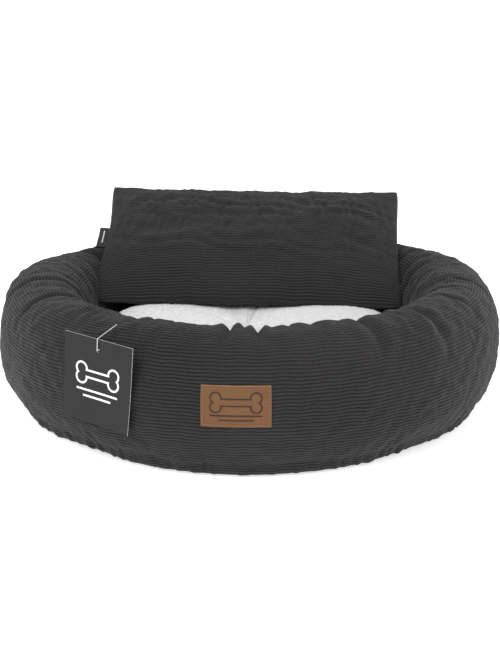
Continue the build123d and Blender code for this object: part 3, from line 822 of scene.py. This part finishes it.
# Painted shade: the darker tones fall where the clump and hair bumps sink, between the clumps and among the
# hairs, and a slow noise, shade, changes how much of it shows.
tone = plush.mixed(clump.between(0.25, 0.65), [0.66, 0.645, 0.65, 1], [0.84, 0.83, 0.835, 1])
plush.colour(plush.mixed(hair.between(0.2, 0.5) * (0.6 + shade * 0.6), [0.62, 0.605, 0.61, 1], tone))
plush.raised(clump * 0.0022 + hair * 0.0007)
faces, _ = grid_faces(plush_rows, plush_columns, True)
cushion_top = closed_up(mesh_piece("cushion_plush", plush_points, faces[:, ::-1], plush.material))
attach(cushion_top, "cushion")
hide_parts("cushion_top_cover")

light_weave = plain_weave("light_cloth", [0.66, 0.66, 0.655, 1], 0.0009, Sheen_Weight=0.15)
under_points = resample(cushion_coarse[cushion_rows - 1 :], np.linspace(0, 1, 70), round_, True)
faces, _ = grid_faces(70, plush_columns, True)
cushion_under = closed_up(mesh_piece("cushion_underside", under_points, faces[:, ::-1], light_weave))
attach(cushion_under, "cushion")
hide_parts("cushion_base_cover")

# The inner bag is white non-woven cloth and its fibre lies inside it: the same shape, each a little
# smaller.
bag_cloth = woolly("bag_cloth", [0.80, 0.80, 0.78, 1], 0.003)
centre = np.array([0, 0, cushion_level])
faces, _ = grid_faces(2 * cushion_rows - 1, cushion_columns, True)
for name, node, part, finish, size in (
    ("cushion_bag", "cushion_inner_bag", "bag_cloth", bag_cloth, 0.955),
    ("cushion_fibre", "cushion_fill", "fibre_fill", fibre, 0.93),
):
    inner = closed_up(mesh_piece(name, centre + size * (cushion_coarse - centre), faces[:, ::-1], finish))
    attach(inner, "cushion")
    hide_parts(node)

# The thread through the middle shows as a small stitched knot at the bottom of the dimple, on each face.
knot_top = float(cushion_coarse[0, 0, 2])
knot_low = float(cushion_coarse[-1, 0, 2])
shaft = [(0, 0.0006), (0.0026, 0.0005), (0.0036, -0.0002), (0.0030, -0.0010), (0.0011, -0.0016)]
knot_profile = [(r, knot_top + z) for r, z in shaft] + [(r, knot_low - z) for r, z in shaft[::-1]]
knot = turned_shape(knot_profile, 20)
knot[..., 0] += tie_x
faces, _ = grid_faces(len(knot_profile), 20, True)
white_thread = spun_thread("white_thread", [0.62, 0.62, 0.61, 1])
tie = closed_up(mesh_piece("middle_tie", knot, faces[:, ::-1], white_thread))
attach(tie, "cushion")
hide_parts("cushion_tie")

# ---- Zips ----------------------------------------------------------------------------------------
# Woven tapes with nylon coils, closed by a metal slider: pale round the back of the cushion, black on the
# back of the pillow. They keep the frame's shapes and take their finishes here.


def zip_tape(name, tint):
    """Fine herringbone: slanting threads that turn back every millimetre."""
    tape = Finish(name, Sheen_Weight=0.15)
    place = tape.place("Object")
    x, y, z = tape.parts(place)
    slant = abs(((x + y + abs(((z * 500).fraction() - 0.5) * 0.004)) * 7000).wave())
    fuzz = tape.noise(place, 2200, 2, 0.6)
    tape.colour(tape.mixed(slant * 0.7 + fuzz * 0.3, shaded(tint, 0.5), tint))
    tape.roughness(0.6 + fuzz * 0.3)
    tape.raised(slant * 0.00008)
    return tape.material


def nylon_coil(name, tint):
    """A wound coil: close round turns across the zip, with a soft plastic shine."""
    coil = Finish(name)
    x, y, z = coil.parts(coil.place("Object"))
    turn = abs(((x + y * 0.6) * (math.pi / 0.0011)).wave())
    coil.colour(coil.mixed(turn, shaded(tint, 0.4), tint))
    coil.roughness(0.3 + turn * 0.15)
    coil.raised(turn * 0.0003)
    return coil.material


def worn_metal(name, tint, metallic, rough):
    """Die-cast zinc under a thin coat: fine scratches, and small pits."""
    metal = Finish(name, Metallic=metallic, Coat_Weight=0.2)
    place = metal.place("Object")
    scratch = metal.noise(metal.stretched(place, (1, 12, 1)), 900, 3, 0.6)
    pit = metal.noise(place, 2600, 2)
    metal.colour(metal.mixed(scratch * 0.6, shaded(tint, 0.75), tint))
    metal.roughness(rough + scratch * 0.18)
    metal.raised(scratch * 0.00002 + pit * 0.00002)
    return metal.material


zip_finishes = {
    "cushion": {
        "zip_tapes": zip_tape("pale_zip_tape", [0.66, 0.66, 0.66, 1]),
        "zip_coils": nylon_coil("pale_zip_coil", [0.66, 0.66, 0.66, 1]),
        "metal": worn_metal("nickel", [0.60, 0.60, 0.62, 1], 1.0, 0.28),
    },
    "pillow": {
        "zip_tapes": zip_tape("black_zip_tape", [0.035, 0.035, 0.037, 1]),
        "zip_coils": nylon_coil("black_zip_coil", [0.03, 0.03, 0.032, 1]),
        "metal": worn_metal("black_enamel", [0.03, 0.03, 0.033, 1], 0.6, 0.32),
    },
}
for owner, finishes in zip_finishes.items():
    for piece in ("zip_tapes", "zip_coils", "zip_stops", "zip_slider", "zip_pull"):
        refinish(f"{owner}_{piece}", finishes.get(piece, finishes["metal"]))

# ---- Pillow --------------------------------------------------------------------------------------
# Two oblongs of the ribbed cloth sewn round the edge and stuffed with loose fibre, which lies in soft
# lumps, most of them in the upper half. The corners stay flat and pointed. It leans back on the ring.
pillow_half_width, pillow_rise, pillow_depth = 0.1915, 0.1865, 0.072
cut_half_width, cut_rise = 0.1990, 0.2035
pillow_foot = np.array([0, 0.043, 0.097])
lean, turn, roll = math.radians(-48), math.radians(-1.5), math.radians(1.0)
c, s = math.cos(turn), math.sin(turn)
turn_about_z = np.array([[c, -s, 0], [s, c, 0], [0, 0, 1]])
c, s = math.cos(lean), math.sin(lean)
lean_about_x = np.array([[1, 0, 0], [0, c, -s], [0, s, c]])
c, s = math.cos(roll), math.sin(roll)
roll_about_y = np.array([[c, 0, s], [0, 1, 0], [-s, 0, c]])
pillow_turn = turn_about_z @ lean_about_x @ roll_about_y


def on_pillow(points):
    """Points of the upright pillow, whose bottom seam is on the X axis, in their place on the bed."""
    return points @ pillow_turn.T + pillow_foot


across_count, up_count = 133, 69
a = np.linspace(-1, 1, across_count)[None, :]
b = np.linspace(0, 1, up_count)[:, None]
c = 2 * b - 1
arch = 4 * b * (1 - b)
fullness = np.maximum(1 - np.abs(a) ** 3.6, 0) ** 0.60 * np.maximum(arch, 0) ** 0.62
corner = 0.0030 * np.abs(a) ** 18 * np.abs(c) ** 9
left_swell = 0.0088 * np.exp(-(((a + 1) / 0.25) ** 2)) * np.exp(-(((b - 0.18) / 0.34) ** 2))
x = a * (pillow_half_width - 0.0035 * arch) - left_swell - np.sign(a) * corner
z = 0.0015 + (pillow_rise - 0.0015) * (b + 0.020 * (1 - a**2) * (1 - 2 * b)) - np.sign(c) * corner
z = z + (0.0006 * np.sin(a * 14 + 1) + 0.0006 * np.sin(a * 31 + 2)) * c**4 * (1 - a**8)
z = z + 0.0035 * a**8 * np.clip(b * 2 - 1, 0, 1)
quilt = np.cos((x + 0.5 * z) * 250 + 1.6 * np.sin(z * 90))
quilt = quilt * np.cos((x - 0.6 * z) * 210 + 1.8 * np.sin(x * 60))
quilt = quilt + 0.7 * unevenness(51, z, x, 24, (0.018, 0.045))
upper = 0.35 + 0.65 * np.clip((b - 0.25) / 0.35, 0, 1)
lump = 0.0012 * quilt * upper * np.clip(fullness * 1.6, 0, 1)
soft = 0.0022 * unevenness(52, z, x, 12, (0.07, 0.16)) * fullness
front = np.stack([x, -((pillow_depth / 2 - 0.004) * fullness + lump + soft), z], -1)
back = np.stack([x, pillow_depth / 2 * fullness + lump[:, ::-1] * 0.7, z], -1)
front_at = np.arange(up_count * across_count).reshape(up_count, across_count)
back_at = front_at.copy()
inner_count = (up_count - 2) * (across_count - 2)
back_at[1:-1, 1:-1] = up_count * across_count + np.arange(inner_count).reshape(up_count - 2, -1)
pillow_start = np.concatenate([front.reshape(-1, 3), back[1:-1, 1:-1].reshape(-1, 3)])
faces, _ = grid_faces(up_count, across_count)
pillow_faces = np.concatenate([faces, back_at.ravel()[faces][:, ::-1]])
flat = np.stack([a * cut_half_width + 0 * b, 0 * a * b, b * cut_rise + 0 * a], -1)
pillow_flat = np.concatenate([flat.reshape(-1, 3), flat[1:-1, 1:-1].reshape(-1, 3)])
pillow_hold = np.full(len(pillow_start), 0.010)
pillow_hold[front_at[[0, 0, -1, -1], [0, -1, 0, -1]]] = 1
pillow_settled = stuffed(pillow_start, pillow_faces, pillow_flat, pillow_hold, 2.0, 9)

ribs_up = np.append(np.arange(0, cut_rise - 0.0004, rib_pitch / rows_per_rib), cut_rise)
ribs_across = np.linspace(0, 1, 260)
# The second colour is painted shade for the grooves, far darker than the crown.
pillow_cloth = ribbed_cloth("ribbed_pillow_cloth", [0.0300, 0.0297, 0.0315, 1], [0.0062, 0.0061, 0.0066, 1])
seam_share = np.minimum(
    np.minimum(ribs_up, cut_rise - ribs_up)[:, None],
    (np.minimum(ribs_across, 1 - ribs_across) * 2 * cut_half_width)[None, :],
)
for name, node, numbers, side in (
    ("pillow_front", "pillow_front_cover", front_at, 1),
    ("pillow_back", "pillow_back_cover", back_at, -1),
):
    points = resample(pillow_settled[numbers], ribs_up / cut_rise, ribs_across, False)
    if side < 0:
        zip_arch = np.sqrt(0.14335**2 - np.minimum(np.abs(points[..., 2] - 0.095), 0.14) ** 2) - 0.10735
        zip_level = zip_arch - points[..., 0] ** 2 / 2.949 + 0.0006
        under_zip = np.clip((0.011 - np.abs(points[..., 2] - 0.060)) / 0.006, 0, 1)
        under_zip = under_zip * np.clip((0.106 - np.abs(points[..., 0])) / 0.01, 0, 1)
        points[..., 1] += (zip_level - points[..., 1]) * under_zip
        ribs = 1 - under_zip
    else:
        ribs = 1
    off_seam = np.clip(seam_share / 0.012, 0, 1)
    here_x, here_z = points[..., 0], points[..., 2]
    tufted = np.cos((here_x + 0.5 * here_z) * 330 + 1.6 * np.sin(here_z * 90)) * np.cos(
        (here_x - 0.6 * here_z) * 280 + 1.8 * np.sin(here_x * 60)
    )
    tufted = tufted + 0.8 * unevenness(64, here_z, here_x, 40, (0.010, 0.030))
    higher = 0.30 + 0.70 * np.clip((here_z / pillow_rise - 0.25) / 0.35, 0, 1)
    wander = unevenness(65, here_z, here_x, 30, (0.018, 0.06))
    nap = unevenness(66, here_z * 0.6, here_x, 26, (0.0052, 0.012))
    ribs = ribs * np.clip(seam_share / 0.004, 0, 1) * rib_profile(ribs_up)[:, None] * (1 + 0.22 * nap)
    swell = 0.0012 * tufted * higher * np.clip(seam_share / 0.035, 0, 1)
    swell = swell * (1 if side > 0 else 1 - under_zip)
    normals = side * grid_normals(points, False)
    points = points + normals * (rib_depth * ribs + swell)[..., None]
    points[..., 2] += 0.0005 * wander * off_seam
    faces, places = grid_faces(len(ribs_up), len(ribs_across))
    uv = np.stack([ribs_across[places[..., 1]] * 2 * cut_half_width, ribs_up[places[..., 0]]], -1)
    cover = mesh_piece(name, on_pillow(points), faces[:, ::side], pillow_cloth, uv[:, ::side])
    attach(cover, "pillow")
    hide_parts(node)

centre = np.array([0, 0, pillow_rise / 2])
for name, node, part, finish, size in (
    ("pillow_bag", "pillow_inner_bag", "bag_cloth", bag_cloth, (0.955, 0.88, 0.93)),
    ("pillow_fibre", "pillow_fill", "fibre_fill", fibre, (0.94, 0.82, 0.91)),
):
    points = centre + np.array(size) * (pillow_settled - centre)
    inner = mesh_piece(name, on_pillow(points), pillow_faces, finish)
    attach(inner, "pillow")
    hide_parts(node)

# ---- Pillow label --------------------------------------------------------------------------------
# Black satin tape folded into a loop, with both ends in the pillow's left seam. A plain white stripe is
# woven in.
tape_length, tape_wide, loop_depth = 0.0118, 0.031, 0.0015
run = np.linspace(0, 1, 13)
bend = np.linspace(-math.pi / 2, math.pi / 2, 11)[1:-1]
loop_x = [-run * tape_length, -tape_length - loop_depth * np.cos(bend), -(1 - run) * tape_length]
loop_y = [-loop_depth * run**0.6, loop_depth * np.sin(bend), loop_depth * (1 - run) ** 0.6]
loop_x, loop_y = np.concatenate(loop_x), np.concatenate(loop_y)
wide = np.linspace(-0.5, 0.5, 17)[:, None] * tape_wide
seam = pillow_settled[front_at[:, 0]]
label_rise = 0.103
seam_x = np.interp(label_rise + wide, seam[:, 2], seam[:, 0]) + 0.0012
ruffle = 0.0004 * np.sin(wide * 200) * (loop_x / -tape_length)
label = np.stack([seam_x + loop_x, loop_y + ruffle, label_rise + wide + 0 * loop_x], -1)
satin = Finish("black_satin_tape", Specular_IOR_Level=0.25)
along, across, _ = satin.parts(satin.place())
thread = abs((across * (math.pi / 0.0004)).wave())
stripe = 1 - abs(along - 0.0070).between(0.0005, 0.0008)
stripe = stripe * (1 - abs(across - 0.001).between(0.0095, 0.0099))
ground = satin.mixed(thread, [0.008, 0.008, 0.009, 1], [0.03, 0.03, 0.032, 1])
satin.colour(satin.mixed(stripe, ground, [0.62, 0.62, 0.62, 1]))
satin.roughness(0.35 + thread * 0.15)
satin.raised(thread * 0.00006)
loop_run = np.concatenate([[0], np.cumsum(np.hypot(np.diff(loop_x), np.diff(loop_y)))])
faces, places = grid_faces(17, len(loop_x))
uv = np.stack([loop_run[places[..., 1]], wide[places[..., 0], 0]], -1)
loop = mesh_piece("pillow_loop", on_pillow(label), faces, satin.material, uv)
loop.modifiers.new("wall", "SOLIDIFY").thickness = 0.0004
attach(loop, "pillow")
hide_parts("pillow_label")

# ---- Card tag ------------------------------------------------------------------------------------
# Stiff card with a gloss black film on both faces and its white core at the cut edges. It hangs from a
# clear moulded fastener shot through the cloth. A plain bone and two bars are printed on it in white.
tag_width, tag_height, tag_wall = 0.087, 0.094, 0.0006
tag_roll = math.radians(4.3)
hole_height, hole_radius = tag_height / 2 - 0.012, 0.0022
tag_out = np.array([math.cos(tag_angle), math.sin(tag_angle), 0])
tag_side = np.array([-math.sin(tag_angle), math.cos(tag_angle), 0])
tag_centre = tag_out * (ring_radius + 0.0013) + np.array([0, 0, 0.0983])


def on_tag(side, up, out):
    """A point of the card, side and up in its plane and out from its middle, in its place on the bed.
    The card is sprung a little: its low corners stand away from the ring with the square of the way to
    them."""
    curl = 0.0030 * np.clip(side / 0.042 * 0.6 - up / 0.047 * 0.4, 0, 1) ** 2
    curl = curl + 0.0012 * np.clip(-up / 0.047, 0, 1) ** 2
    s = side * math.cos(tag_roll) + up * math.sin(tag_roll)
    u = up * math.cos(tag_roll) - side * math.sin(tag_roll)
    place = tag_centre + (out + curl)[..., None] * tag_out + s[..., None] * tag_side
    return place + u[..., None] * np.array([0, 0, 1])


corners = [
    math.atan2(0.5 * h * tag_height - hole_height, 0.5 * w * tag_width) for w in (1, -1) for h in (-1, 1)
]
turn = np.unique(np.concatenate([np.linspace(-math.pi, math.pi, 121)[:-1], corners]))
to_side = tag_width / 2 / np.maximum(np.abs(np.cos(turn)), 1e-9)
to_end = np.where(np.sin(turn) > 0, tag_height / 2 - hole_height, tag_height / 2 + hole_height)
to_end = to_end / np.maximum(np.abs(np.sin(turn)), 1e-9)
rim = np.minimum(to_side, to_end)
step = np.linspace(0, 1, 20)[:, None] ** 1.3
reach = hole_radius + (rim - hole_radius)[None, :] * step
side, up = reach * np.cos(turn), hole_height + reach * np.sin(turn)
card_front = on_tag(side, up, 0 * side + tag_wall / 2)
card_back = on_tag(side[::-1], up[::-1], 0 * side - tag_wall / 2)
card = np.concatenate([card_front, card_back])
faces, places = grid_faces(40, len(turn), True, True)
film = Finish("black_gloss_film", Specular_IOR_Level=0.30)
place = film.place("Object")
ripple = film.noise(place, 38, 2)
scuff = film.noise(film.stretched(place, (1, 1, 7)), 420, 3, 0.7)
film.colour(film.mixed(scuff * 0.5, [0.003, 0.003, 0.0035, 1], [0.009, 0.009, 0.010, 1]))
film.roughness(0.08 + scuff * 0.12)
film.raised(ripple * 0.0009 + scuff * 0.000008)
core = Finish("white_card_edge")
layer = core.noise(core.stretched(core.place("Object"), (1, 1, 6)), 1500, 2)
core.colour(core.mixed(layer, [0.45, 0.45, 0.44, 1], [0.80, 0.80, 0.78, 1]))
core.roughness(0.7 + layer * 0.2)
core.raised(layer * 0.00003)
tag = mesh_piece("card_tag", card, faces[:, ::-1], film.material, sharp=40)
tag.data.materials.append(core.material)
rim_rows = np.isin(places[:, 0, 0], (19, 39))
tag.data.polygons.foreach_set("material_index", rim_rows.astype(np.int32))
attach(tag, "tag")
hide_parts("hang_tag")


def bone_outline(half_length, half_height, knob, spread, grow):
    """The bone's closed outline, moved out by grow: from the top of the bar round the upper right knob
    to the notch between the knobs, and the same mirrored three times."""
    knob, half_height = knob + grow, half_height + grow
    first = math.pi - math.asin((half_height - spread) / knob)
    arc = np.linspace(first, math.asin(-spread / knob), 40)
    x = np.concatenate([[0], half_length + knob * np.cos(arc)])
    z = np.concatenate([[half_height], spread + knob * np.sin(arc)])
    x = np.concatenate([x, x[-2::-1], -x[1:], -x[-2:0:-1]])
    z = np.concatenate([z, -z[-2::-1], -z[1:], z[-2:0:-1]])
    return np.stack([x, z], -1)


line = np.stack([bone_outline(0.0205, 0.0038, 0.0066, 0.0048, grow) for grow in (-0.0011, 0.0011)])
front_of_card = tag_wall / 2 + 0.00012
inked = [on_tag(line[..., 0], line[..., 1] + 0.0065, 0 * line[..., 0] + front_of_card)]
ink_faces = [grid_faces(2, line.shape[1], True)[0]]
for bar, height in ((0.0265, -0.0115), (0.0180, -0.0180)):
    bar_x, bar_z = np.meshgrid(np.linspace(-bar, bar, 60), [-0.0011, 0.0011])
    inked.append(on_tag(bar_x, bar_z + height, 0 * bar_x + front_of_card))
    ink_faces.append(grid_faces(2, 60)[0] + 2 * line.shape[1] + (0 if bar > 0.02 else 120))
ink = Finish("white_ink", Coat_Weight=0.6, Coat_Roughness=0.1)
grain = ink.noise(ink.place("Object"), 2400, 2)
ink.colour(ink.mixed(grain, [0.74, 0.74, 0.74, 1], [0.88, 0.88, 0.88, 1]))
ink.roughness(0.3 + grain * 0.1)
printed_points = np.concatenate([points.reshape(-1, 3) for points in inked])
printed = mesh_piece("tag_print", printed_points, np.concatenate(ink_faces), ink.material)
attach(printed, "tag")

clear = Finish("clear_fastener", Transmission_Weight=0.55, IOR=1.49)
cloud = clear.noise(clear.place("Object"), 800, 2)
clear.colour(clear.mixed(cloud, [0.80, 0.80, 0.82, 1], [0.92, 0.92, 0.94, 1]))
clear.roughness(0.12 + cloud * 0.15)
refinish("tag_fastener", clear.material)

# ---- Stage ---------------------------------------------------------------------------------------
# A white floor that runs far behind the bed and glows a little, a white sky and two large soft lamps.
stage_finish = Finish("white_paper", Roughness=0.9, Emission_Strength=0.55)
stage_finish.surface.inputs["Base Color"].default_value = (0.93, 0.93, 0.93, 1)
stage_finish.surface.inputs["Emission Color"].default_value = (1, 1, 1, 1)
floor = mesh_piece(
    "floor",
    [[-45, -45, 0], [45, -45, 0], [45, 45, 0], [-45, 45, 0]],
    [[0, 1, 2, 3]],
    stage_finish.material,
)
world = bpy.data.worlds.new("studio")
world.use_nodes = True
world.node_tree.nodes["Background"].inputs[0].default_value = (1, 1, 1, 1)
world.node_tree.nodes["Background"].inputs[1].default_value = 0.8
bpy.context.scene.world = world


def lamp(name, place, aim, size, power):
    """A square soft lamp that looks at a point."""
    light = bpy.data.lights.new(name, "AREA")
    light.size = size
    light.energy = power
    item = bpy.data.objects.new(name, light)
    item.location = place
    way = np.array(place) - np.array(aim)
    across = math.hypot(way[0], way[1])
    item.rotation_euler = (math.atan2(across, way[2]), 0, math.atan2(way[0], -way[1]))
    bpy.context.scene.collection.objects.link(item)


lamp("key", (-1.1, -1.5, 2.0), (0, 0, 0.1), 1.6, 34)
lamp("fill", (1.8, -0.8, 1.5), (0, 0, 0.1), 1.8, 16)

camera = bpy.data.cameras.new("camera")
camera.lens = 69.3
camera.sensor_width = 36
camera.clip_end = 80
eye = bpy.data.objects.new("camera", camera)
eye.location = (0, -1.5006, 0.5156)
eye.rotation_euler = (math.radians(90 - 16.19), 0, 0)
bpy.context.scene.collection.objects.link(eye)
bpy.context.scene.camera = eye
bpy.context.scene.view_settings.view_transform = "Standard"
